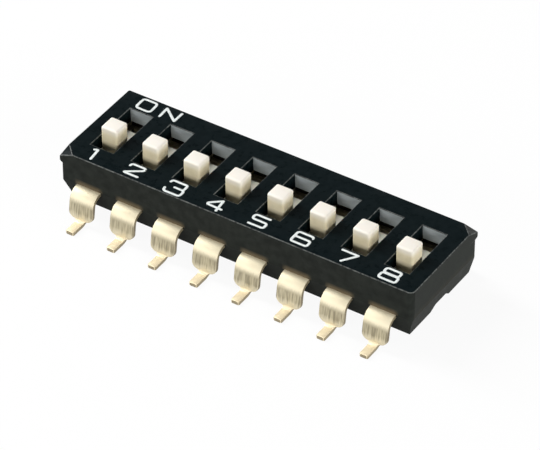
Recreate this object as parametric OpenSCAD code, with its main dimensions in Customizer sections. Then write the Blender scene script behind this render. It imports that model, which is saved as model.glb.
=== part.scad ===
// Slide DIP switch with raised sliders and gull-wing terminals, in millimetres.
// The origin is the centre of the solder plane. +X runs along the row from position 1,
// -Y is the numbered side, where a slider is off, and +Z is up.

/* [Row] */
// Number of switch positions
positions = 8; // [1:1:12]
// Distance between neighbouring positions
pitch = 2.54; // [2.4:0.02:3.2]
// Distance from an outer position to the end of the housing
end_margin = 1.66; // [1.4:0.02:2.2]

/* [Housing] */
// Width of the housing from front to rear
housing_w = 6.17; // [5.6:0.01:7.2]
// Height of the top face above the solder plane
top_h = 3.6; // [3.4:0.02:4]
// Height of the joint between cover and base
joint_h = 1.83; // [1.6:0.01:2]
// Gap between the base and the solder plane
standoff = 0.72; // [0.3:0.02:0.9]
// Thickness of the cover's top plate
top_t = 0.75; // [0.5:0.01:0.9]
// Thickness of the cover's front and rear walls
side_wall = 0.7; // [0.5:0.01:0.9]
// Thickness of the partitions between positions
rib_t = 0.5; // [0.3:0.02:0.7]
// Radius of three of the housing's upright edges
edge_r = 0.1; // [0.05:0.01:0.2]
// Radius of the upright edge in front of the last position
corner_r = 0.3; // [0.2:0.01:0.4]

/* [Corner ledges] */
// Legs of the sloping ledge at two opposite top corners
ledge_leg = 0.72; // [0.4:0.02:1]
// Drop of a ledge's point below the top face
ledge_drop = 0.27; // [0.1:0.01:0.45]
// Thickness of the lug at a ledge's point
lug_t = 0.25; // [0.15:0.01:0.5]
// Reach of a lug's point beyond the walls
lug_out = 0.07; // [0.02:0.01:0.15]

/* [Base] */
// Inward lean of the base's walls from the joint to the bottom
base_lean = 0.22; // [0.05:0.01:0.35]
// Legs of the facet on the lower corner at position 1
corner_facet = 0.4; // [0.1:0.02:0.6]
// Width of the underside channel at its mouth
channel_w = 1.85; // [1.2:0.05:2.2]
// Width of the underside channel at its roof
channel_roof_w = 1; // [0.5:0.05:1.2]
// Depth of the underside channel
channel_d = 0.33; // [0.1:0.01:0.5]
// Diameter of the tool support holes below the terminals
support_d = 0.7; // [0.4:0.05:0.9]
// Distance of the support holes from the centre line
support_y = 2; // [1.7:0.05:2.2]
// Thickness of the rim that locates the cover
rim_t = 0.25; // [0.15:0.01:0.35]
// Height of the rim above the joint
rim_h = 0.22; // [0.1:0.01:0.3]
// Clearance between the rim and the cover
rim_clear = 0.03; // [0.01:0.01:0.06]

/* [Sliders] */
// Size of a knob along the row
knob_w = 1; // [0.8:0.02:1.2]
// Size of a knob along its travel
knob_l = 1; // [0.8:0.02:1.2]
// Height of a knob above the top face
knob_h = 0.84; // [0.2:0.02:1.2]
// Radius of a knob's edges
knob_r = 0.08; // [0.04:0.01:0.2]
// Travel from off to on
travel = 1.32; // [1.1:0.02:1.6]
// Gap beside a knob at the mouth of its slot
knob_side_gap = 0.215; // [0.15:0.005:0.3]
// Gap between a knob and the end of its slot
knob_end_gap = 0.65; // [0.1:0.01:0.7]
// Inward lean of a slot's walls from top to bottom
slot_draft = 0.08; // [0:0.01:0.12]
// Thickness of a slider's shelf
shelf_t = 0.42; // [0.3:0.01:0.5]
// Clearance between a shelf and its partitions
guide_clear = 0.04; // [0.02:0.01:0.1]
// Clearance between a shelf and the top plate
lift_clear = 0.04; // [0.02:0.01:0.08]
// Clearance between a shelf and the wall at the end of its travel
stop_clear = 0.03; // [0.01:0.01:0.1]

/* [Contacts] */
// Width of a contact strip
contact_w = 1; // [0.8:0.02:1.3]
// Thickness of a contact strip
contact_t = 0.1; // [0.06:0.01:0.14]
// Length of the flat web that lies on the slider
web_l = 0.7; // [0.64:0.02:0.9]
// Width of the slit that splits each arm in two fingers
slit_w = 0.24; // [0.1:0.02:0.4]
// Slope of the arms
arm_angle = 50; // [40:1:65]
// Bend radius at the middle of the strip
arm_r = 0.14; // [0.1:0.01:0.18]
// Upward turn of each tip
tip_angle = 30; // [15:1:45]
// Straight length of each tip
tip_l = 0.1; // [0.05:0.01:0.2]
// Running gap between the contact's feet and the pads
contact_gap = 0.02; // [0.01:0.005:0.05]
// Diameter of the slider's staking post
post_d = 0.36; // [0.24:0.02:0.4]
// Clearance round the post
post_clear = 0.02; // [0.01:0.01:0.05]
// Overhang of the staked head beyond the hole
head_over = 0.06; // [0.04:0.01:0.1]
// Thickness of the staked head
head_t = 0.08; // [0.05:0.01:0.12]

/* [Terminals] */
// Width of a terminal's plate
lead_w = 1.48; // [1.2:0.02:1.7]
// Thickness of the terminal strip
lead_t = 0.22; // [0.15:0.01:0.28]
// Width of the solder foot
tail_w = 0.5; // [0.4:0.02:0.6]
// Flat length of the solder foot
foot_l = 0.8; // [0.4:0.01:1]
// Radius of the corners at the end of the foot
foot_r = 0.1; // [0.02:0.01:0.18]
// Height of the plate's lower edge above the top of the foot
plate_gap = 0.1; // [0.02:0.01:0.15]
// Radius of the plate's lower corners, as far as the plate's width allows
plate_r = 0.36; // [0.2:0.01:0.4]
// Fillet between the plate and the foot
tail_fillet = 0.06; // [0.02:0.01:0.08]
// Outward lean of the plate
splay = 8; // [0:1:15]
// Straight length outside the wall before the shoulder
lead_out = 0.03; // [0.01:0.01:0.1]
// Inside radius of the shoulder
shoulder_r = 0.47; // [0.3:0.01:0.5]
// Inside radius of the ankle
ankle_r = 0.19; // [0.1:0.01:0.25]
// Length of pad beyond a contact's foot
pad_land = 0.25; // [0.15:0.01:0.28]
// Gap between the two pads of a position
pad_gap = 0.5; // [0.3:0.02:0.56]

/* [Hidden] */
$fn = 48;
// Facets in each bend of a strip
bend_steps = 10;
// Overlap of a cut past the face it opens
eps = 0.05;

cover_color = [0.08, 0.1, 0.1];
base_color = [0.15, 0.15, 0.14];
slider_color = [0.95, 0.92, 0.84];
gold_color = [0.88, 0.8, 0.56];

housing_l = (positions - 1) * pitch + 2 * end_margin;
cover_h = top_h - joint_h;
base_h = joint_h - standoff;
chamber_w = pitch - rib_t;
chamber_l = housing_w - 2 * side_wall;
cavity_l = (positions - 1) * pitch + chamber_w;
// Longer than the part, for profiles that bound it from two sides only
long = 2 * (housing_l + housing_w);

slot_w = knob_w + 2 * knob_side_gap;
slot_l = knob_l + travel + 2 * knob_end_gap;
shelf_w = chamber_w - 2 * guide_clear;
shelf_l = chamber_l - 2 * stop_clear - travel;
shelf_top = top_h - top_t - lift_clear;
shelf_bottom = shelf_top - shelf_t;
off_y = -travel / 2;

hole_d = post_d + 2 * post_clear;
arm_drop = shelf_bottom - joint_h - contact_gap - contact_t;
arm_l = (arm_drop - 2 * arm_r * (1 - cos(arm_angle))) / sin(arm_angle);
foot_reach = web_l / 2 + 2 * arm_r * sin(arm_angle) + arm_l * cos(arm_angle);
front_pad_end = off_y + foot_reach + pad_land;
rear_pad_end = front_pad_end + pad_gap;

bend_angle = 90 - splay;
shoulder_mid_r = shoulder_r + lead_t / 2;
ankle_mid_r = ankle_r + lead_t / 2;
leg_drop = joint_h - lead_t - (shoulder_mid_r + ankle_mid_r) * (1 - cos(bend_angle));
leg_l = leg_drop / sin(bend_angle);
heel_y = housing_w / 2 + lead_out + (shoulder_mid_r + ankle_mid_r) * sin(bend_angle) + leg_l * cos(bend_angle);
foot_end = heel_y + foot_l;
plate_low = lead_t + plate_gap;
plate_corner_r = min(plate_r, (lead_w - tail_w) / 2 - 2 * tail_fillet);

function position_x(i) = (i - (positions + 1) / 2) * pitch;

// A point of a strip's middle line is [y, z, heading]
function ahead(p, l) = [p[0] + l * cos(p[2]), p[1] + l * sin(p[2]), p[2]];

// Points of a bend by a signed angle at a given middle radius
function bend(p, turn, r) =
    let (s = sign(turn))
    let (centre = [p[0] - s * r * sin(p[2]), p[1] + s * r * cos(p[2])])
    [for (k = [0:bend_steps])
        let (h = p[2] + turn * k / bend_steps)
        [centre[0] + s * r * sin(h), centre[1] - s * r * cos(h), h]];

// Points after a start, for a list of moves, each [straight length] or [straight length, turn, radius]
function trail(p, moves, i = 0) =
    i == len(moves) ? [] :
    let (end = ahead(p, moves[i][0]))
    let (stops = len(moves[i]) == 1 ? [end] : bend(end, moves[i][1], moves[i][2]))
    concat(stops, trail(stops[len(stops) - 1], moves, i + 1));

function middle_line(start, moves) = concat([start], trail(start, moves));

function beside(p, off) = [p[0] - off * sin(p[2]), p[1] + off * cos(p[2])];

// Closed outline of a strip of thickness t about its middle line
function strip_outline(line, t) =
    let (n = len(line))
    concat(
        [for (k = [0:n - 1]) beside(line[k], t / 2)],
        [for (k = [n - 1:-1:0]) beside(line[k], -t / 2)]
    );

function arc_points(c, r, from, to) =
    [for (k = [0:bend_steps])
        let (a = from + (to - from) * k / bend_steps)
        [c[0] + r * cos(a), c[1] + r * sin(a)]];

function flipped(points) = [for (k = [len(points) - 1:-1:0]) [-points[k][0], points[k][1]]];

// A profile drawn in Y and Z, extruded along X about the middle
module across(w) {
    rotate([90, 0, 90])
        linear_extrude(height = w, center = true)
            children();
}

// A profile drawn in X and Z, extruded along Y about the middle
module along(l) {
    rotate([90, 0, 0])
        linear_extrude(height = l, center = true)
            children();
}

module round_rect(w, l, r) {
    square([w - 2 * r, l], center = true);
    square([w, l - 2 * r], center = true);
    for (x = [-1, 1], y = [-1, 1])
        translate([x * (w / 2 - r), y * (l / 2 - r)])
            circle(r = r);
}

// Side profile of a wall pair that closes in from top to bottom
module leaning_profile(top_w, bottom_w, bottom, top) {
    polygon([
        [-bottom_w / 2, bottom],
        [bottom_w / 2, bottom],
        [top_w / 2, top],
        [-top_w / 2, top]
    ]);
}

// The front left corner and, turned half round, the rear right one
module at_ledges() {
    for (turn = [0, 180])
        rotate([0, 0, turn])
            translate([-housing_l / 2, -housing_w / 2, 0])
                children();
}

// Plan of the housing, with three tight corners and a wider one in front of the last position
module housing_plan() {
    round_rect(housing_l, housing_w, corner_r);
    for (side = [[-1, -1], [-1, 1], [1, 1]])
        translate([side.x * (housing_l / 2 - corner_r), side.y * (housing_w / 2 - corner_r)])
            round_rect(2 * corner_r, 2 * corner_r, edge_r);
}

// Everything above a plane that falls from the top face to a ledge's point
module ledge_cut() {
    run = (ledge_leg / 2 + lug_out) * sqrt(2);
    translate([ledge_leg / 2, ledge_leg / 2, top_h])
        rotate([0, 0, 45])
            rotate([0, -atan(ledge_drop / run), 0])
                translate([-long, -long / 2, 0])
                    cube([long, long, ledge_drop + eps]);
}

module lug() {
    translate([0, 0, top_h - ledge_drop - lug_t])
        linear_extrude(height = ledge_drop + lug_t)
            polygon([[0, ledge_leg], [-lug_out, -lug_out], [ledge_leg, 0], [ledge_leg, ledge_leg]]);
}

module slot() {
    low = top_h - top_t - eps;
    high = top_h + eps;
    lean = slot_draft / top_t;
    low_in = 2 * lean * (top_t + eps);
    high_out = 2 * lean * eps;
    intersection() {
        along(long)
            leaning_profile(slot_w + high_out, slot_w - low_in, low, high);
        across(long)
            leaning_profile(slot_l + high_out, slot_l - low_in, low, high);
    }
}

module chamber() {
    translate([-chamber_w / 2, -chamber_l / 2, joint_h - eps])
        cube([chamber_w, chamber_l, cover_h - top_t + eps]);
}

// A rectangular ring inside the cover's walls
module ring(clear_out, clear_in, bottom, top) {
    translate([0, 0, bottom])
        linear_extrude(height = top - bottom)
            difference() {
                square([cavity_l - 2 * clear_out, chamber_l - 2 * clear_out], center = true);
                square([cavity_l - 2 * clear_in, chamber_l - 2 * clear_in], center = true);
            }
}

module cover() {
    color(cover_color)
        difference() {
            union() {
                translate([0, 0, joint_h])
                    linear_extrude(height = cover_h)
                        housing_plan();
                at_ledges() lug();
            }
            at_ledges() ledge_cut();
            for (i = [1:positions])
                translate([position_x(i), 0, 0]) {
                    slot();
                    chamber();
                }
            ring(0, 2 * rim_clear + rim_t, joint_h - eps, joint_h + rim_h + rim_clear);
        }
}

// The base's outside: walls that lean in, and one corner facet that widens downwards
module base_block() {
    low_l = housing_l - 2 * base_lean;
    low_w = housing_w - 2 * base_lean;
    top_across = (housing_l + housing_w) / sqrt(2);
    low_across = (low_l + low_w - 2 * corner_facet) / sqrt(2);
    intersection() {
        along(long)
            leaning_profile(housing_l, low_l, standoff, joint_h);
        across(long)
            leaning_profile(housing_w, low_w, standoff, joint_h);
        rotate([0, 0, 45])
            along(long)
                polygon([
                    [-low_across / 2, standoff],
                    [long, standoff],
                    [long, joint_h],
                    [-top_across / 2, joint_h]
                ]);
        translate([0, 0, standoff])
            linear_extrude(height = base_h)
                housing_plan();
    }
}

module channel() {
    across(long)
        polygon([
            [-channel_w / 2, standoff],
            [-channel_w / 2, standoff - eps],
            [channel_w / 2, standoff - eps],
            [channel_w / 2, standoff],
            [channel_roof_w / 2, standoff + channel_d],
            [-channel_roof_w / 2, standoff + channel_d]
        ]);
}

// Space for a terminal strip in the base's floor, from its inner end outwards
module terminal_pocket(inner) {
    translate([-lead_w / 2, inner, joint_h - lead_t])
        cube([lead_w, housing_w, lead_t + eps]);
    translate([0, support_y, standoff - eps])
        cylinder(d = support_d, h = base_h - lead_t + 2 * eps);
}

module base() {
    color(base_color) {
        difference() {
            base_block();
            channel();
            for (i = [1:positions])
                translate([position_x(i), 0, 0]) {
                    rotate([0, 0, 180]) terminal_pocket(-front_pad_end);
                    terminal_pocket(rear_pad_end);
                }
        }
        ring(rim_clear, rim_clear + rim_t, joint_h, joint_h + rim_h);
    }
}

module knob() {
    root = shelf_bottom + shelf_t / 2;
    crown = top_h + knob_h;
    intersection() {
        translate([0, 0, root])
            linear_extrude(height = crown - root)
                round_rect(knob_w, knob_l, knob_r);
        across(long)
            translate([0, crown / 2])
                round_rect(knob_l, crown, knob_r);
        along(long)
            translate([0, crown / 2])
                round_rect(knob_w, crown, knob_r);
    }
}

module slider(i) {
    color(slider_color)
        translate([position_x(i), off_y, 0]) {
            translate([-shelf_w / 2, -shelf_l / 2, shelf_bottom])
                cube([shelf_w, shelf_l, shelf_t]);
            knob();
            translate([0, 0, shelf_bottom - contact_t])
                cylinder(d = post_d, h = contact_t + shelf_t / 2);
            translate([0, 0, shelf_bottom - contact_t - head_t])
                cylinder(d = hole_d + 2 * head_over, h = head_t);
        }
}

// One half of a contact, from the middle of its web to the tip
module contact_half() {
    line = middle_line(
        [0, shelf_bottom - contact_t / 2, 0],
        [
            [web_l / 2, -arm_angle, arm_r],
            [arm_l, arm_angle + tip_angle, arm_r],
            [tip_l]
        ]
    );
    difference() {
        across(contact_w)
            polygon(strip_outline(line, contact_t));
        translate([-slit_w / 2, web_l / 2, joint_h])
            cube([slit_w, foot_reach, arm_drop + 2 * contact_t]);
    }
}

module contact(i) {
    color(gold_color)
        translate([position_x(i), off_y, 0])
            difference() {
                union() {
                    contact_half();
                    rotate([0, 0, 180]) contact_half();
                }
                translate([0, 0, joint_h])
                    cylinder(d = hole_d, h = arm_drop + 2 * contact_t);
            }
}

// Front view of a terminal: a wide plate with round lower corners over a narrow foot
module terminal_face() {
    right = concat(
        [[tail_w / 2, -eps]],
        arc_points([tail_w / 2 + tail_fillet, plate_low - tail_fillet], tail_fillet, 180, 90),
        arc_points([lead_w / 2 - plate_corner_r, plate_low + plate_corner_r], plate_corner_r, -90, 0),
        [[lead_w / 2, joint_h + eps]]
    );
    polygon(concat(right, flipped(right)));
}

// Plan of a terminal's outside, with round corners at the end of the foot
module terminal_plan() {
    translate([0, foot_end / 2])
        round_rect(tail_w, foot_end, foot_r);
    translate([-lead_w, -heel_y])
        square([2 * lead_w, 2 * heel_y]);
}

// A terminal that leads outwards in +Y from its pad's inner end
module terminal(inner) {
    line = middle_line(
        [inner, joint_h - lead_t / 2, 0],
        [
            [housing_w / 2 + lead_out - inner, -bend_angle, shoulder_mid_r],
            [leg_l, bend_angle, ankle_mid_r],
            [foot_l]
        ]
    );
    color(gold_color)
        intersection() {
            across(long)
                polygon(strip_outline(line, lead_t));
            along(long)
                terminal_face();
            linear_extrude(height = joint_h + eps)
                terminal_plan();
        }
}

cover();
base();
for (i = [1:positions]) {
    slider(i);
    contact(i);
    translate([position_x(i), 0, 0]) rotate([0, 0, 180]) terminal(-front_pad_end);
    translate([position_x(i), 0, 0]) terminal(rear_pad_end);
}
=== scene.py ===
# Slide DIP switch with eight raised sliders: its finishes, legends, floor, light and camera.
import math

import bmesh
import bpy
from mathutils import Matrix, Vector


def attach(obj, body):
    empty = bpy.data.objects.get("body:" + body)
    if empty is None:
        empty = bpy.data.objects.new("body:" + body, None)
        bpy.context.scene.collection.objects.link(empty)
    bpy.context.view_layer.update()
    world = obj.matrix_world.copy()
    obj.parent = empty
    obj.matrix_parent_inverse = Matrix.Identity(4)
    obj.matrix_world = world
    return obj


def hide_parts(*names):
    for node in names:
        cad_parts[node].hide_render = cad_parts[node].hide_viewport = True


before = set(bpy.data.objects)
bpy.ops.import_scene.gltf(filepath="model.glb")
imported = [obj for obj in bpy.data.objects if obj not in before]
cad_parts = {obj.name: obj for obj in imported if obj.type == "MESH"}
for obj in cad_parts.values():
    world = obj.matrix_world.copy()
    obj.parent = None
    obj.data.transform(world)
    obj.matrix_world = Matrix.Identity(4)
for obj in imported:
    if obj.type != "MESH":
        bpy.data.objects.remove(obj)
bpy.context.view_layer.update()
mm = 0.001
same = 1e-4  # places closer than this, in mm, count as one place
weld = 0.0005  # points closer than this, in mm, are joined
pitch = 2.54  # from one position to the next, in mm
count = 8
positions = [(i - (count - 1) / 2) * pitch for i in range(count)]  # slot centres along the row
print("frame loaded,", len(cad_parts), "nodes")


# Small helpers for the meshes, which are all made in millimetres

def makePiece(name, bm, finishes, slot, body, *nodes):
    bmesh.ops.scale(bm, vec=(mm, mm, mm), verts=bm.verts)
    mesh = bpy.data.meshes.new(name)
    bm.to_mesh(mesh)
    bm.free()
    for finish in finishes:
        mesh.materials.append(finish)
    piece = bpy.data.objects.new(name, mesh)
    bpy.context.scene.collection.objects.link(piece)
    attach(piece, body)
    if nodes:
        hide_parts(*nodes)
    return piece


def halves(sides):
    return sides[0] / 2, sides[1] / 2


def pullTo(bm, faces, z):
    edges = list(dict.fromkeys(e for f in faces for e in f.edges))  # each edge once
    grown = bmesh.ops.extrude_face_region(bm, geom=faces + edges)["geom"]
    moved = [g for g in grown if isinstance(g, bmesh.types.BMFace)]
    for f in moved:
        for v in f.verts:
            v.co.z = z
    return moved


def softenEdges(bm, edges, radius, segments):
    bmesh.ops.bevel(bm, geom=edges, offset=radius, offset_type="OFFSET", affect="EDGES",
                    segments=segments, profile=0.5, material=-1, clamp_overlap=True)


def edgeTurn(edge):
    return math.degrees(edge.calc_face_angle(0))


def mergeFlats(bm, edges, flatTurn=0.5):
    bmesh.ops.dissolve_limit(bm, angle_limit=math.radians(flatTurn), verts=bm.verts, edges=edges)


def shadeSmooth(bm, sharpTurn=40):
    for f in bm.faces:
        f.smooth = True
    for e in bm.edges:
        e.smooth = edgeTurn(e) < sharpTurn


def evenNormals(piece, flatWeight=100):
    weighted = piece.modifiers.new("even normals", "WEIGHTED_NORMAL")
    weighted.weight = flatWeight
    weighted.keep_sharp = True


# Small helpers for the node materials, with pattern sizes in millimetres

pattern = {"cloudDetail": 4.0, "grainDetail": 3.0, "darkAt": 0.35, "lightAt": 0.65, "middle": 0.5,
           "spreadFrom": 0.3, "spreadTo": 0.7, "grainDepth": 0.2}


def newFinish(name, values):
    finish = bpy.data.materials.new(name)
    finish.use_nodes = True
    shader = finish.node_tree.nodes["Principled BSDF"]
    for socket, value in values.items():
        shader.inputs[socket].default_value = value
    return finish, finish.node_tree, shader


def addNode(tree, kind, inputs, **settings):
    node = tree.nodes.new("ShaderNode" + kind)
    for key, value in settings.items():
        setattr(node, key, value)
    for socket, value in inputs.items():
        if isinstance(value, bpy.types.NodeSocket):
            tree.links.new(value, node.inputs[socket])
        else:
            node.inputs[socket].default_value = value
    return node


def reckon(tree, operation, *values):
    return addNode(tree, "Math", dict(enumerate(values)), operation=operation).outputs[0]


def along(tree, axis):
    place = addNode(tree, "TexCoord", {}).outputs["Object"]
    return addNode(tree, "SeparateXYZ", {"Vector": place}).outputs[axis]


def between(tree, value, start, end):
    # zero at the start and one at the end
    return addNode(tree, "MapRange", {"Value": value, "From Min": start * mm,
                                      "From Max": end * mm}).outputs["Result"]


def mixColours(tree, share, first, second):
    # the colour sockets of a Mix node are 6 and 7, and its colour comes out at 2
    return addNode(tree, "Mix", {0: share, 6: first, 7: second}, data_type="RGBA").outputs[2]


def recolour(tree, shader, share, colour):
    plain = shader.inputs["Base Color"].links[0].from_socket
    tree.links.new(mixColours(tree, share, plain, (*colour, 1)), shader.inputs["Base Color"])


def speckle(tree, spot, detail, stretch=(1, 1, 1)):
    place = addNode(tree, "TexCoord", {}).outputs["Object"]
    scale = [1 / (spot * s * mm) for s in stretch]
    sized = addNode(tree, "Mapping", {"Vector": place, "Scale": scale}).outputs["Vector"]
    noise = addNode(tree, "TexNoise", {"Vector": sized, "Scale": 1.0, "Detail": detail})
    return noise.outputs["Fac"]


def heightBand(tree, low, high, ragged=None, by=0):
    z = along(tree, "Z")
    if ragged:
        shift = reckon(tree, "SUBTRACT", ragged, pattern["middle"])
        z = reckon(tree, "MULTIPLY_ADD", shift, by * mm, z)
    return between(tree, z, low, high)


def colourRamp(tree, factor, stops):
    ramp = addNode(tree, "ValToRGB", {"Fac": factor})
    for element, (position, colour) in zip(ramp.color_ramp.elements, stops):
        element.position = position
        element.color = (*colour, 1)
    return ramp.outputs["Color"]


def spread(tree, factor, low, high):
    return addNode(tree, "MapRange", {
        "Value": factor, "From Min": pattern["spreadFrom"], "From Max": pattern["spreadTo"],
        "To Min": low, "To Max": high}).outputs["Result"]


def mouldedPlastic(name, look):
    finish, tree, shader = newFinish(name, {"Specular IOR Level": look["specular"]})
    cloud = speckle(tree, look["cloud"], pattern["cloudDetail"])
    grain = speckle(tree, look["grain"], pattern["grainDetail"])
    colour = colourRamp(tree, cloud, [(pattern["darkAt"], look["dark"]), (pattern["lightAt"], look["light"])])
    bump = addNode(tree, "Bump", {"Height": grain, "Strength": look["bump"],
                                  "Distance": look["grain"] * mm * pattern["grainDepth"]})
    tree.links.new(colour, shader.inputs["Base Color"])
    tree.links.new(spread(tree, cloud, *look["roughness"]), shader.inputs["Roughness"])
    tree.links.new(bump.outputs["Normal"], shader.inputs["Normal"])
    return finish, tree, shader


# Cover: a slotted plate with walls and partitions below, and a sloping ledge on a lug at two corners

coverValues = {
    "shape": {
        "plan": (21.1, 6.17),
        "top": 3.6, "lugBottom": 3.08, "plateBottom": 2.85, "rimRoof": 2.08, "joint": 1.83,
        "ledgeLeg": 0.72, "ledgeDrop": 0.27, "lugOut": 0.07, "lugInset": 0.02,
        "slot": (1.43, 3.62), "slotDraft": 0.08,
        "chamber": (2.04, 4.77), "rimDepth": 0.31, "wallUp": 0.5,
        "uprightRadius": 0.1, "uprightSteps": 6, "cornerRadius": 0.3, "cornerSteps": 10,
        "topRadius": 0.04, "topSteps": 3, "topTurn": 15,
        "lugRadius": 0.025, "lugSteps": 2, "lugTurn": 30,
    },
    "looks": {  # in the order of the material slots
        "side": {"dark": (0.0143, 0.0163, 0.0143), "light": (0.0217, 0.0246, 0.0214), "specular": 0.03,
                 "roughness": (0.4, 0.52), "cloud": 0.5, "grain": 0.05, "bump": 0.25},
        "top": {"dark": (0.0025, 0.006, 0.007), "light": (0.0045, 0.0085, 0.0098), "specular": 0.02,
                "roughness": (0.24, 0.38), "cloud": 0.35, "grain": 0.04, "bump": 0.1},
        # the rim's edge faces are lighter, partly as wear and partly as a painted highlight
        "edge": {"dark": (0.01, 0.012, 0.012), "light": (0.115, 0.124, 0.117), "specular": 0.2,
                 "roughness": (0.35, 0.5), "cloud": 0.16, "grain": 0.04, "bump": 0.2},
        # the slot ends are a light grey: a painted sheen standing in for the light they catch
        "slotEndSheen": {"dark": (0.315, 0.35, 0.36), "light": (0.36, 0.395, 0.405), "specular": 0.3,
                    "roughness": (0.4, 0.5), "cloud": 0.6, "grain": 0.06, "bump": 0.1,
                    "low": (0.66, 0.725, 0.74), "from": 3.5, "to": 2.95},
        "paleLedge": {"dark": (0.018, 0.0195, 0.0185), "light": (0.054, 0.057, 0.0545), "specular": 0.1,
                 "roughness": (0.4, 0.52), "cloud": 0.2, "grain": 0.05, "bump": 0.25},
        # painted light: the chamber walls and the tray's rim under the slots are a pale brown, standing in
        # for light in the dark interior
        "inside": {"dark": (0.46, 0.43, 0.32), "light": (0.52, 0.485, 0.365), "specular": 0.2,
                   "roughness": (0.45, 0.6), "cloud": 0.5, "grain": 0.05, "bump": 0.2},
    },
    # painted reflection of the gold terminals on the wall above each one
    "bounce": {"colour": (0.2, 0.155, 0.095), "share": 0.75, "wide": 0.9, "narrow": 0.6,
               "low": 1.84, "high": 2.18},
    "tests": {"up": 0.05, "flat": 0.995, "sloping": 0.7, "endOn": 0.9, "thinArea": 0.03,
              "slotMargin": 0.02, "roomMargin": 0.01, "topMargin": 0.001},  # for the finish of a face
}


def nearSlot(place, halfX, halfY):
    return min(abs(place.x - x) for x in positions) < halfX and abs(place.y) < halfY


def coverSheet(shape):
    # the top face, cut into cells by the edges of the walls, chambers and slots
    halfL, halfW = halves(shape["plan"])
    slotX, slotY = halves(shape["slot"])
    roomX, roomY = halves(shape["chamber"])
    rimY = roomY - shape["rimDepth"]
    xLines = [-halfL] + [x + d for x in positions for d in (-roomX, -slotX, slotX, roomX)] + [halfL]
    yLines = [-halfW, -roomY, -rimY, -slotY, slotY, rimY, roomY, halfW]
    columns, rows = len(xLines) - 1, len(yLines) - 1
    half = 0.5  # the grid runs from -half to half before its lines are set
    bm = bmesh.new()
    bmesh.ops.create_grid(bm, x_segments=columns, y_segments=rows, size=half)
    for v in bm.verts:
        column, row = round((v.co.x + half) * columns), round((v.co.y + half) * rows)
        v.co = (xLines[column], yLines[row], shape["top"])
    cells = [f for f in bm.faces if nearSlot(f.calc_center_median(), slotX, slotY)]
    bmesh.ops.delete(bm, geom=cells, context="FACES")
    for side in (-1, 1):
        corner = Vector((side * halfL, side * halfW))
        cell = min(bm.faces, key=lambda f: (f.calc_center_median().xy - corner).length)
        ends = [v for v in cell.verts if (v.co.x == corner.x) != (v.co.y == corner.y)]
        for v in ends:
            if v.co.x == corner.x:
                v.co.y = corner.y - side * shape["ledgeLeg"]
            else:
                v.co.x = corner.x - side * shape["ledgeLeg"]
        bmesh.ops.connect_verts(bm, verts=ends)
    return bm


def coverPart(f, shape, tests):
    # which of the looks a face takes
    slotX, slotY = halves(shape["slot"])
    roomX, roomY = halves(shape["chamber"])
    inSlot, inRoom = tests["slotMargin"], tests["roomMargin"]
    plateBottom, flatTop = shape["plateBottom"], shape["top"] - shape["topRadius"]
    middle, up = f.calc_center_median(), f.normal.z
    if middle.z > flatTop - tests["topMargin"] and up > tests["up"]:
        return "top" if up > tests["flat"] else "edge"
    if middle.z > plateBottom + inRoom and nearSlot(middle, slotX + inSlot, slotY + inSlot):
        return "slotEndSheen" if f.normal.y < -tests["endOn"] else "top"
    if middle.z < plateBottom - inRoom and nearSlot(middle, roomX + inRoom, roomY + inRoom):
        return "inside"
    if middle.z > flatTop - shape["ledgeDrop"] and up > tests["up"] and f.calc_area() < tests["thinArea"]:
        return "edge"
    if up > tests["sloping"]:  # the ledge beside position 1 is as dark as the top, and the other one is paler
        return "top" if middle.x < 0 else "paleLedge"
    return "side"


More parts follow.
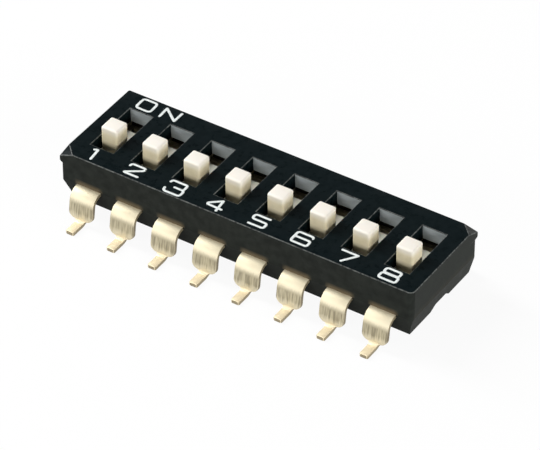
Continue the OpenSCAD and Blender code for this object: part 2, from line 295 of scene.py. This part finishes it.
def buildCover(values):
    shape = values["shape"]
    halfL, halfW = halves(shape["plan"])
    slotX, slotY = halves(shape["slot"])
    roomX, roomY = halves(shape["chamber"])
    top, lugBottom, plateBottom = shape["top"], shape["lugBottom"], shape["plateBottom"]
    ledgeLow = top - shape["ledgeDrop"]
    rowEnd = positions[-1] + roomX
    bm = coverSheet(shape)

    lugs = pullTo(bm, bm.faces[:], lugBottom)
    under = pullTo(bm, lugs, plateBottom)
    solid = [f for f in under if not nearSlot(f.calc_center_median(), roomX, roomY)]
    feet = []
    for f in pullTo(bm, solid, shape["rimRoof"]):
        middle = f.calc_center_median()
        overRim = abs(middle.x) < rowEnd and roomY - shape["rimDepth"] < abs(middle.y) < roomY
        if not overRim:
            feet.append(f)
    pullTo(bm, feet, shape["joint"])

    def atCorner(v):
        return abs(abs(v.co.x) - halfL) < same and abs(abs(v.co.y) - halfW) < same

    for v in bm.verts:  # each slot narrows a little towards the underside of the plate
        x = min(positions, key=lambda p: abs(v.co.x - p))
        if abs(abs(v.co.x - x) - slotX) < same and abs(abs(v.co.y) - slotY) < same:
            lean = shape["slotDraft"] * (top - v.co.z) / (top - plateBottom)
            v.co.x -= math.copysign(lean, v.co.x - x)
            v.co.y -= math.copysign(lean, v.co.y)
    for v in bm.verts:  # each ledge falls to a point on a lug that stands a little out of the walls
        if v.co.x * v.co.y > 0 and atCorner(v) and v.co.z > lugBottom - same:
            out = math.copysign(shape["lugOut"], v.co.x)
            v.co.z -= shape["ledgeDrop"] if v.co.z > top - same else 0
            v.co.x += out
            v.co.y += out
    bmesh.ops.recalc_face_normals(bm, faces=bm.faces)
    # a flat with slots or chambers in it stays as cells, which are simple faces and the same on every run
    mergeFlats(bm, [e for e in bm.edges if all(abs(f.normal.z) < shape["wallUp"] for f in e.link_faces)])

    def isUpright(e):
        a, b = e.verts
        return atCorner(a) and (a.co.xy - b.co.xy).length < same

    def onLug(v):
        out = max(abs(v.co.x) - halfL, abs(v.co.y) - halfW)
        return out > -shape["lugInset"] and lugBottom - 10 * same < v.co.z < ledgeLow

    wide = [e for e in bm.edges if isUpright(e) and e.verts[0].co.x > 0 > e.verts[0].co.y]
    softenEdges(bm, wide, shape["cornerRadius"], shape["cornerSteps"])
    softenEdges(bm, [e for e in bm.edges if isUpright(e)], shape["uprightRadius"], shape["uprightSteps"])
    high = [e for e in bm.edges if min(v.co.z for v in e.verts) > ledgeLow - same]
    rim = [e for e in high if edgeTurn(e) > shape["topTurn"]]
    softenEdges(bm, rim, shape["topRadius"], shape["topSteps"])
    lug = [e for e in bm.edges if edgeTurn(e) > shape["lugTurn"] and all(onLug(v) for v in e.verts)]
    softenEdges(bm, lug, shape["lugRadius"], shape["lugSteps"])

    parts = list(values["looks"])
    for f in bm.faces:
        f.material_index = parts.index(coverPart(f, shape, values["tests"]))
    shadeSmooth(bm)
    return bm


def warmBounce(tree, shader, look):
    # painted reflection: the wall just above each terminal is tinted with the gold's bounce light
    half = pitch / 2 * mm
    shifted = reckon(tree, "ADD", along(tree, "X"), half)
    beside = between(tree, reckon(tree, "PINGPONG", shifted, half), look["wide"], look["narrow"])
    above = heightBand(tree, look["high"], look["low"])
    share = reckon(tree, "MULTIPLY", reckon(tree, "MULTIPLY", beside, above), look["share"])
    recolour(tree, shader, share, look["colour"])


def paintLightLowDown(tree, shader, look):
    # painted light: the end of a slot is made paler lower down, where less light comes, so it looks as evenly
    # lit as above
    recolour(tree, shader, heightBand(tree, look["from"], look["to"]), look["low"])


coverFinishes = {}
for part, look in coverValues["looks"].items():
    coverFinishes[part], tree, shader = mouldedPlastic("cover " + part, look)
    if part == "side":
        warmBounce(tree, shader, coverValues["bounce"])
    if part == "slotEndSheen":
        paintLightLowDown(tree, shader, look)
cover = makePiece("coverShell", buildCover(coverValues), coverFinishes.values(), "cover_plastic",
                  "housing", "cover")
evenNormals(cover)
print("cover made,", len(cover.data.polygons), "faces")


# Base: the solid's own shape, with the lower edges of its outer walls eased

baseValues = {
    "shape": {"edgeRadius": 0.04, "edgeSteps": 3, "edgeTurn": 25, "wallUp": 0.6, "underUp": 0.5,
              "joint": 1.83, "rim": (9.92, 2.36), "margin": 0.01},
    "look": {"dark": (0.0138, 0.0158, 0.0138), "light": (0.021, 0.0238, 0.0207), "specular": 0.03,
             "roughness": (0.42, 0.55), "cloud": 0.5, "grain": 0.05, "bump": 0.25},
}


def buildBase(shape):
    bm = bmesh.new()
    bm.from_mesh(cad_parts["base"].data)
    bmesh.ops.scale(bm, vec=(1 / mm, 1 / mm, 1 / mm), verts=bm.verts)
    bmesh.ops.remove_doubles(bm, verts=bm.verts, dist=weld)
    mergeFlats(bm, bm.edges)
    bottom = min(v.co.z for v in bm.verts)
    rimX, rimY = shape["rim"]

    def isOuterWall(f):
        middle = f.calc_center_median()
        outside = max(abs(middle.x) / rimX, abs(middle.y) / rimY) > 1
        return outside and abs(f.normal.z) < shape["wallUp"]

    def isEased(e):
        low = all(abs(v.co.z - bottom) < 10 * same for v in e.verts)
        under = all(f.normal.z < shape["underUp"] for f in e.link_faces)
        outer = any(isOuterWall(f) for f in e.link_faces)
        return low and under and outer and edgeTurn(e) > shape["edgeTurn"]

    softenEdges(bm, [e for e in bm.edges if isEased(e)], shape["edgeRadius"], shape["edgeSteps"])
    # the tray's rim under the slots takes the painted light of the interior
    for f in bm.faces:
        middle = f.calc_center_median()
        within = abs(middle.x) < rimX + shape["margin"] and abs(middle.y) < rimY + shape["margin"]
        f.material_index = 1 if within and middle.z > shape["joint"] - shape["margin"] else 0
    shadeSmooth(bm)
    return bm


baseFinishes = [mouldedPlastic("base", baseValues["look"])[0], coverFinishes["inside"]]
base = makePiece("baseTray", buildBase(baseValues["shape"]), baseFinishes, "base_plastic", "housing", "base")
evenNormals(base)
print("base made,", len(base.data.polygons), "faces")


# Sliders: a shelf under the plate, a square knob through the slot and a staked post below

sliderValues = {
    "shape": {
        "shelf": (1.96, 3.39), "shelfBottom": 2.39, "shelfTop": 2.81, "offPlace": -0.66,
        "shelfRadius": 0.03, "shelfSteps": 2, "shelfTurn": 60, "pastKnob": 0.1,
        "knob": 1.0, "crown": 4.44, "knobRadius": 0.12, "knobSteps": 5, "upright": 0.9, "middle": 0.01,
        "post": 0.36, "postBottom": 2.29, "postInto": 0.1, "postSteps": 32,
        "head": 0.52, "headBottom": 2.21,
    },
    "look": {
        "dark": (0.72, 0.635, 0.425), "light": (0.78, 0.695, 0.485), "specular": 0.4,
        "roughness": (0.42, 0.55), "cloud": 0.5, "grain": 0.06, "bump": 0.12,
        "scatter": 0.1, "scatterReach": (0.08, 0.06, 0.04),
        # painted light: the knob lighter towards its crown, and the shelf lighter
        "crown": (0.89, 0.845, 0.765), "crownLightFrom": 3.98,
        "shelf": (0.95, 0.92, 0.78), "shelfLightFrom": 2.95,
        # painted shade down the front of the neck, under the plate
        "neckShade": (0.34, 0.3, 0.2), "neckFrom": 3.62, "neckTo": 3.3, "neckReach": 0.14,
    },
}


def buildSlider(shape, x):
    half = shape["knob"] / 2
    thick = shape["shelfTop"] - shape["shelfBottom"]
    bm = bmesh.new()
    bmesh.ops.create_cube(bm, size=1)
    bmesh.ops.scale(bm, vec=(*shape["shelf"], thick), verts=bm.verts)
    bmesh.ops.translate(bm, vec=(0, 0, shape["shelfBottom"] + thick / 2), verts=bm.verts)
    for axis in (Vector((1, 0, 0)), Vector((0, 1, 0))):
        for side in (-half, half):
            bmesh.ops.bisect_plane(bm, geom=bm.verts[:] + bm.edges[:] + bm.faces[:],
                                   plane_co=axis * side, plane_no=axis)
    upper = [f for f in bm.faces if f.normal.z > shape["upright"]]
    pullTo(bm, [f for f in upper if f.calc_center_median().xy.length < shape["middle"]], shape["crown"])
    mergeFlats(bm, bm.edges)
    knob = [e for e in bm.edges if max(v.co.z for v in e.verts) > shape["crown"] - same]
    softenEdges(bm, knob, shape["knobRadius"], shape["knobSteps"])
    outer = [e for e in bm.edges if max(abs(v.co.x) for v in e.verts) > half + shape["pastKnob"]]
    shelf = [e for e in outer if edgeTurn(e) > shape["shelfTurn"]]
    softenEdges(bm, shelf, shape["shelfRadius"], shape["shelfSteps"])
    for wide, low, high in ((shape["post"], shape["postBottom"], shape["shelfBottom"] + shape["postInto"]),
                            (shape["head"], shape["headBottom"], shape["postBottom"])):
        made = bmesh.ops.create_cone(bm, cap_ends=True, segments=shape["postSteps"], radius1=wide / 2,
                                     radius2=wide / 2, depth=high - low)
        bmesh.ops.translate(bm, vec=(0, 0, (low + high) / 2), verts=made["verts"])
    bmesh.ops.translate(bm, vec=(x, shape["offPlace"], 0), verts=bm.verts)
    shadeSmooth(bm)
    return bm


def creamPlastic(look, shape):
    # painted light: lighter towards the crown and on the shelf, and painted shade down the front of the neck
    finish, tree, shader = mouldedPlastic("slider", look)
    # painted light on the upper knob and on the shelf
    recolour(tree, shader, heightBand(tree, look["crownLightFrom"], shape["crown"]), look["crown"])
    recolour(tree, shader, heightBand(tree, look["shelfLightFrom"], shape["shelfTop"]), look["shelf"])
    # painted shade: the front face of the neck darkens below the plate
    face = (shape["offPlace"] - shape["knob"] / 2) * mm
    away = reckon(tree, "ABSOLUTE", reckon(tree, "SUBTRACT", along(tree, "Y"), face))
    front = between(tree, away, look["neckReach"], 0)
    below = heightBand(tree, look["neckFrom"], look["neckTo"])
    recolour(tree, shader, reckon(tree, "MULTIPLY", front, below), look["neckShade"])
    shader.inputs["Subsurface Weight"].default_value = look["scatter"]
    shader.inputs["Subsurface Radius"].default_value = look["scatterReach"]
    shader.inputs["Subsurface Scale"].default_value = mm
    return finish


sliderFinish = creamPlastic(sliderValues["look"], sliderValues["shape"])
for i, x in enumerate(positions, 1):
    slider = makePiece(f"sliderKnob_{i}", buildSlider(sliderValues["shape"], x), [sliderFinish],
                       "slider_plastic", f"switch_{i}", f"slider_{i}")
    evenNormals(slider)
print("sliders made")


# Terminals: a strip that leaves the housing, bends down over a shoulder and out again to a narrow foot

terminalValues = {
    "shape": {
        "width": 1.48, "thickness": 0.2195, "tail": 0.5, "top": 1.83, "shoulderAt": 3.115,
        "shoulder": 0.69, "bend": 82, "bendSteps": 14, "leg": 0.861, "legSteps": 16,
        "ankle": 0.19, "foot": 0.7995, "plateLow": 0.32, "plateRound": 0.36, "tailRound": 0.13,
        "frontInner": 0.44, "rearInner": 0.94,
        "edgeRadius": 0.03, "edgeSteps": 2, "edgeTurn": 50, "tipRound": 0.1, "tipSteps": 5,
        "tipMargin": 0.005, "sideways": 0.6,
    },
    "plated": {"pale": (0.7, 0.635, 0.468), "warm": (0.655, 0.585, 0.415), "plate": (0.50, 0.445, 0.305),
               "streak": (0.27, 0.235, 0.155), "foot": (0.755, 0.655, 0.455),
               "metallic": 0.5, "roughness": (0.52, 0.6), "cloud": 0.6, "plateHigh": 1.27},
    "cutEdge": {"pale": (0.34, 0.29, 0.185), "warm": (0.26, 0.215, 0.13), "plate": (0.29, 0.245, 0.16),
                "streak": (0.17, 0.14, 0.09), "foot": (0.3, 0.25, 0.16),
                "metallic": 0.6, "roughness": (0.5, 0.6), "cloud": 0.3, "plateHigh": 1.24},
    "marks": {"width": 0.085, "stretch": (1, 14, 14), "detail": 2.0, "ragged": 0.4,
              "plainAt": 0.4, "markedAt": 0.62, "plateLow": 0.6, "fade": 0.14, "fadeUnder": 0.1,
              "foot": (0.44, 0.28), "cloudDetail": 3.0, "warmAt": 0.3, "paleAt": 0.7,
              "bump": 0.25, "depth": 0.006},
}


def terminalHalfWidth(shape, z):
    wide, low, r, f = shape["width"] / 2, shape["plateLow"], shape["plateRound"], shape["tailRound"]
    if z > low + r:
        return wide
    if z > low:
        return wide - r + math.sqrt(r * r - (low + r - z) ** 2)
    rise = max(0, z - low + f)
    return shape["tail"] / 2 + f - math.sqrt(f * f - rise * rise)


def buildTerminal(shape, x, inner, turn):
    bend = math.radians(shape["bend"])
    moves = [  # length, turn and steps of each stretch of the upper side
        (shape["shoulderAt"] - inner, 0, 1),
        (shape["shoulder"] * bend, -bend, shape["bendSteps"]),
        (shape["leg"], 0, shape["legSteps"]),
        (shape["ankle"] * bend, bend, shape["bendSteps"]),
        (shape["foot"], 0, 1),
    ]
    bm = bmesh.new()
    half = shape["width"] / 2
    ends = [bm.verts.new((side * half, inner, shape["top"])) for side in (-1, 1)]
    edges = [bm.edges.new(ends)]
    heading = 0.0
    for length, turned, steps in moves:
        halfTurn = turned / steps / 2
        chord = length / steps * (math.sin(halfTurn) / halfTurn if turned else 1)
        for _ in range(steps):
            heading += halfTurn
            grown = bmesh.ops.extrude_edge_only(bm, edges=edges)["geom"]
            edges = [g for g in grown if isinstance(g, bmesh.types.BMEdge)]
            line = [g for g in grown if isinstance(g, bmesh.types.BMVert)]
            step = Vector((0, math.cos(heading), math.sin(heading))) * chord
            bmesh.ops.translate(bm, vec=step, verts=line)
            wanted = terminalHalfWidth(shape, line[0].co.z)
            bmesh.ops.scale(bm, vec=(wanted / half, 1, 1), verts=line)
            half = wanted
            heading += halfTurn
    bmesh.ops.recalc_face_normals(bm, faces=bm.faces)
    if sum(f.normal.z for f in bm.faces) < 0:
        bmesh.ops.reverse_faces(bm, faces=bm.faces)
    bmesh.ops.solidify(bm, geom=bm.faces[:], thickness=shape["thickness"])
    bmesh.ops.recalc_face_normals(bm, faces=bm.faces)
    reach = max(v.co.y for v in bm.verts)

    def isTip(e):
        a, b = e.verts
        return min(a.co.y, b.co.y) > reach - same and (a.co.xy - b.co.xy).length < same

    tip = [e for e in bm.edges if isTip(e) and edgeTurn(e) > shape["edgeTurn"]]
    softenEdges(bm, tip, shape["tipRound"], shape["tipSteps"])
    sharp = [e for e in bm.edges if edgeTurn(e) > shape["edgeTurn"]]
    softenEdges(bm, sharp, shape["edgeRadius"], shape["edgeSteps"])
    for f in bm.faces:
        atTip = f.calc_center_median().y > reach - shape["tipMargin"]
        f.material_index = 1 if atTip or abs(f.normal.x) > shape["sideways"] else 0
    bmesh.ops.rotate(bm, cent=(0, 0, 0), matrix=Matrix.Rotation(turn, 3, "Z"), verts=bm.verts)
    bmesh.ops.translate(bm, vec=(x, 0, 0), verts=bm.verts)
    shadeSmooth(bm)
    return bm


def goldPlate(name, look, marks):
    # satin gold, with upright drawing marks on the plate between the shoulder and the foot
    finish, tree, shader = newFinish(name, {"Metallic": look["metallic"]})
    cloud = speckle(tree, look["cloud"], marks["cloudDetail"])
    lines = speckle(tree, marks["width"], marks["detail"], marks["stretch"])
    gold = colourRamp(tree, cloud, [(marks["warmAt"], look["warm"]), (marks["paleAt"], look["pale"])])
    gold = mixColours(tree, heightBand(tree, *marks["foot"]), gold, (*look["foot"], 1))
    drawn = colourRamp(tree, lines, [(marks["plainAt"], look["plate"]), (marks["markedAt"], look["streak"])])
    lower, upper, fade = marks["plateLow"], look["plateHigh"], marks["fade"]
    low = heightBand(tree, lower - fade, lower + fade, lines, marks["ragged"])
    high = heightBand(tree, upper + fade, upper - marks["fadeUnder"], lines, marks["ragged"])
    onPlate = reckon(tree, "MULTIPLY", low, high)
    depth = reckon(tree, "MULTIPLY", lines, onPlate)
    bump = addNode(tree, "Bump", {"Height": depth, "Strength": marks["bump"],
                                  "Distance": marks["depth"] * mm}, invert=True)
    tree.links.new(mixColours(tree, onPlate, gold, drawn), shader.inputs["Base Color"])
    tree.links.new(spread(tree, cloud, *look["roughness"]), shader.inputs["Roughness"])
    tree.links.new(bump.outputs["Normal"], shader.inputs["Normal"])
    return finish


strip, marks = terminalValues["shape"], terminalValues["marks"]
terminalFinishes = [goldPlate("terminal gold", terminalValues["plated"], marks),
                    goldPlate("terminal cut edge", terminalValues["cutEdge"], marks)]
for i, x in enumerate(positions, 1):
    front = buildTerminal(strip, x, -strip["frontInner"], math.pi)
    rear = buildTerminal(strip, x, strip["rearInner"], 0)
    for side, bm in (("front", front), ("rear", rear)):
        terminal = makePiece(f"{side}Lead_{i}", bm, terminalFinishes, "terminal_metal", "housing",
                             f"{side}_terminal_{i}")
        evenNormals(terminal)
print("terminals made")


# Contacts: the solids' own shapes, in the gold of the terminals

contactFinish = goldPlate("contact gold", terminalValues["plated"], marks)
for i in range(1, count + 1):
    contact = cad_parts[f"contact_{i}"]
    contact.data.materials.clear()
    contact.data.materials.append(contactFinish)
print("contacts finished")


# Legends: printed strokes with round ends, a little proud of the top face

legendValues = {
    "shape": {"stroke": 0.145, "thickness": 0.012, "top": 3.6, "sides": 3, "thinnest": 0.02, "sharpTurn": 80,
              "endSteps": (0, 0.1, 0.3, 0.6, 1), "cornerSteps": (0, 0.25, 0.5, 0.75, 1)},
    "look": {"dark": (0.66, 0.70, 0.69), "light": (0.83, 0.87, 0.86), "specular": 0.35,
             "roughness": (0.45, 0.6), "cloud": 0.12, "grain": 0.04, "bump": 0.15},
    "on": {  # places on the face, softening of the corners, and whether the stroke closes
        "O": [([(-9.45, 2.87), (-8.57, 2.87), (-8.55, 2.05), (-9.43, 2.05)], 0.2, True)],
        "N": [([(-7.94, 2.07), (-7.97, 2.83), (-7.07, 2.12), (-7.06, 2.85)], 0.02, False)],
    },
    "digits": [  # the same, from the middle of each position
        [([(-0.28, -2.07), (-0.10, -1.99), (-0.01, -2.81)], 0.07, False)],
        [([(-0.54, -2.15), (-0.53, -1.98), (0.33, -1.98), (0.33, -2.17), (-0.58, -2.76), (0.31, -2.77)],
          0.13, False)],
        [([(-0.59, -2.13), (-0.57, -1.97), (0.35, -1.97), (0.35, -2.42), (-0.17, -2.42)], 0.13, False),
         ([(0.12, -2.42), (0.42, -2.43), (0.42, -2.91), (-0.56, -2.92), (-0.60, -2.68)], 0.16, False)],
        [([(0.09, -2.86), (0.0, -2.01), (-0.61, -2.52), (-0.57, -2.62), (0.27, -2.65)], 0.03, False)],
        [([(0.26, -1.99), (-0.60, -1.99), (-0.60, -2.35), (0.31, -2.36), (0.31, -2.76), (-0.56, -2.76)],
          0.15, False)],
        [([(0.33, -2.1), (0.32, -1.98), (-0.59, -1.98), (-0.59, -2.79), (0.36, -2.79), (0.35, -2.36),
           (-0.53, -2.36)], 0.14, False)],
        [([(-0.51, -2.01), (0.42, -2.01), (-0.14, -2.79)], 0.04, False)],
        [([(-0.46, -1.99), (0.41, -1.99), (0.41, -2.355), (-0.46, -2.355)], 0.14, True),
         ([(-0.50, -2.4), (0.47, -2.4), (0.48, -2.82), (-0.51, -2.82)], 0.14, True)],
    ],
}


def softCorner(shape, before, corner, after, soften):
    start = corner + (before - corner).normalized() * soften
    end = corner + (after - corner).normalized() * soften
    return [start.lerp(corner, t).lerp(corner.lerp(end, t), t) for t in shape["cornerSteps"]]


def strokeLine(shape, corners, soften, closed):
    # points and thickness of one stroke, with round corners and round ends
    points = [Vector(c) for c in corners]
    around = [points[-1], *points, points[0]] if closed else points
    line = []
    for before, corner, after in zip(around, around[1:], around[2:]):
        line += softCorner(shape, before, corner, after, soften)
    if closed:
        return [(p, 1.0) for p in line]
    reach = shape["stroke"] / 2
    ends = []
    for end, inner in ((points[0], line[0]), (points[-1], line[-1])):
        away = (end - inner).normalized() * reach
        ends.append([(end + away * (1 - s), math.sqrt(1 - (1 - s) ** 2)) for s in shape["endSteps"]])
    return ends[0] + [(p, 1.0) for p in line] + ends[1][::-1]


def buildLegend(shape, name, strokes, x):
    ink = bpy.data.curves.new(name, "CURVE")
    ink.dimensions = "3D"
    ink.bevel_depth = shape["stroke"] / 2
    ink.bevel_resolution = shape["sides"]
    for corners, soften, closed in strokes:
        line = strokeLine(shape, corners, soften, closed)
        spline = ink.splines.new("POLY")
        spline.points.add(len(line) - 1)
        spline.use_cyclic_u = closed
        for point, (place, thick) in zip(spline.points, line):
            point.co = (place.x + x, place.y, 0, 1)
            point.radius = max(thick, shape["thinnest"])
    holder = bpy.data.objects.new(name, ink)
    mesh = bpy.data.meshes.new_from_object(holder)
    bpy.data.objects.remove(holder)
    bm = bmesh.new()
    bm.from_mesh(mesh)
    bmesh.ops.remove_doubles(bm, verts=bm.verts, dist=weld)
    openEdges = [e for e in bm.edges if e.is_boundary]
    if openEdges:
        bmesh.ops.holes_fill(bm, edges=openEdges)
    flatten = 2 * shape["thickness"] / shape["stroke"]
    bmesh.ops.scale(bm, vec=(1, 1, flatten), verts=bm.verts)
    bmesh.ops.translate(bm, vec=(0, 0, shape["top"]), verts=bm.verts)
    bmesh.ops.recalc_face_normals(bm, faces=bm.faces)
    shadeSmooth(bm, shape["sharpTurn"])
    return bm


inkFinish = mouldedPlastic("legend ink", legendValues["look"])[0]
for name, strokes in legendValues["on"].items():
    makePiece("legendOn_" + name, buildLegend(legendValues["shape"], name, strokes, 0), [inkFinish],
              "cover_plastic", "housing")
for i, (x, strokes) in enumerate(zip(positions, legendValues["digits"]), 1):
    makePiece(f"legendDigit_{i}", buildLegend(legendValues["shape"], str(i), strokes, x), [inkFinish],
              "cover_plastic", "housing")
print("legends made")


# Floor, light and camera

studio = {
    "floorSize": 0.6, "floorColour": (0.92, 0.92, 0.92), "floorRoughness": 0.8, "floorLift": 0.93,
    "worldLevel": 0.08,
    "lamps": [  # place, width, height and power
        ((-0.272, 0.02, 0.205), 0.09, 0.3, 1.38),
        ((-0.14, -0.31, 0.125), 0.5, 0.07, 0.74),
        ((0.37, -0.05, 0.1), 0.4, 0.12, 1.3),
    ],
    "azimuth": 32.85, "elevation": 39.15, "aimHeight": 3.6, "distance": 207.3,
    "shiftRight": 0.184, "shiftUp": -1.835,
    "lens": 272.3, "sensor": 36, "clip": (0.01, 5),
}


def seenDirectly(tree):
    # one for camera, glossy and transmission rays, which all see the white backdrop
    path = addNode(tree, "LightPath", {}).outputs
    seen = reckon(tree, "ADD", path["Is Camera Ray"], path["Is Glossy Ray"])
    return addNode(tree, "Math", {0: seen, 1: path["Is Transmission Ray"]}, operation="ADD",
                   use_clamp=True).outputs[0]


def makeFloor(values):
    bm = bmesh.new()
    bmesh.ops.create_grid(bm, x_segments=1, y_segments=1, size=values["floorSize"])
    mesh = bpy.data.meshes.new("floor")
    bm.to_mesh(mesh)
    bm.free()
    finish, tree, shader = newFinish("floor", {
        "Base Color": (*values["floorColour"], 1), "Roughness": values["floorRoughness"],
        "Specular IOR Level": 0.0})
    glow = addNode(tree, "Emission", {"Color": (1, 1, 1, 1), "Strength": 1.0})
    share = reckon(tree, "MULTIPLY", seenDirectly(tree), values["floorLift"])
    mix = addNode(tree, "MixShader", {0: share, 1: shader.outputs["BSDF"], 2: glow.outputs["Emission"]})
    tree.links.new(mix.outputs["Shader"], tree.nodes["Material Output"].inputs["Surface"])
    mesh.materials.append(finish)
    floor = bpy.data.objects.new("floor", mesh)
    bpy.context.scene.collection.objects.link(floor)


def makeWorld(values):
    world = bpy.data.worlds.new("studio")
    world.use_nodes = True
    bpy.context.scene.world = world
    tree = world.node_tree
    level = addNode(tree, "MapRange", {"Value": seenDirectly(tree), "To Min": values["worldLevel"],
                                       "To Max": 1.0})
    background = tree.nodes["Background"]
    background.inputs["Color"].default_value = (1, 1, 1, 1)
    tree.links.new(level.outputs["Result"], background.inputs["Strength"])


def makeLamps(values):
    for k, (place, width, height, power) in enumerate(values["lamps"], 1):
        lamp = bpy.data.lights.new(f"lamp_{k}", "AREA")
        lamp.shape = "RECTANGLE"
        lamp.size, lamp.size_y = width, height
        lamp.energy = power
        holder = bpy.data.objects.new(f"lamp_{k}", lamp)
        holder.location = place
        holder.rotation_euler = (-Vector(place)).to_track_quat("-Z", "Y").to_euler()
        holder.visible_camera = False
        bpy.context.scene.collection.objects.link(holder)


def makeCamera(values):
    az, el = math.radians(values["azimuth"]), math.radians(values["elevation"])
    back = Vector((math.sin(az) * math.cos(el), -math.cos(az) * math.cos(el), math.sin(el)))
    right = Vector((math.cos(az), math.sin(az), 0))
    up = back.cross(right)
    lens = bpy.data.cameras.new("camera")
    lens.lens = values["lens"]
    lens.sensor_width = values["sensor"]
    lens.clip_start, lens.clip_end = values["clip"]
    camera = bpy.data.objects.new("camera", lens)
    bpy.context.scene.collection.objects.link(camera)
    place = Vector((0, 0, values["aimHeight"])) + back * values["distance"]
    place += right * values["shiftRight"] + up * values["shiftUp"]
    camera.matrix_world = Matrix.Translation(place * mm) @ Matrix((right, up, back)).transposed().to_4x4()
    bpy.context.scene.camera = camera


makeFloor(studio)
makeWorld(studio)
makeLamps(studio)
makeCamera(studio)
bpy.context.scene.view_settings.view_transform = "Standard"
print("studio made")
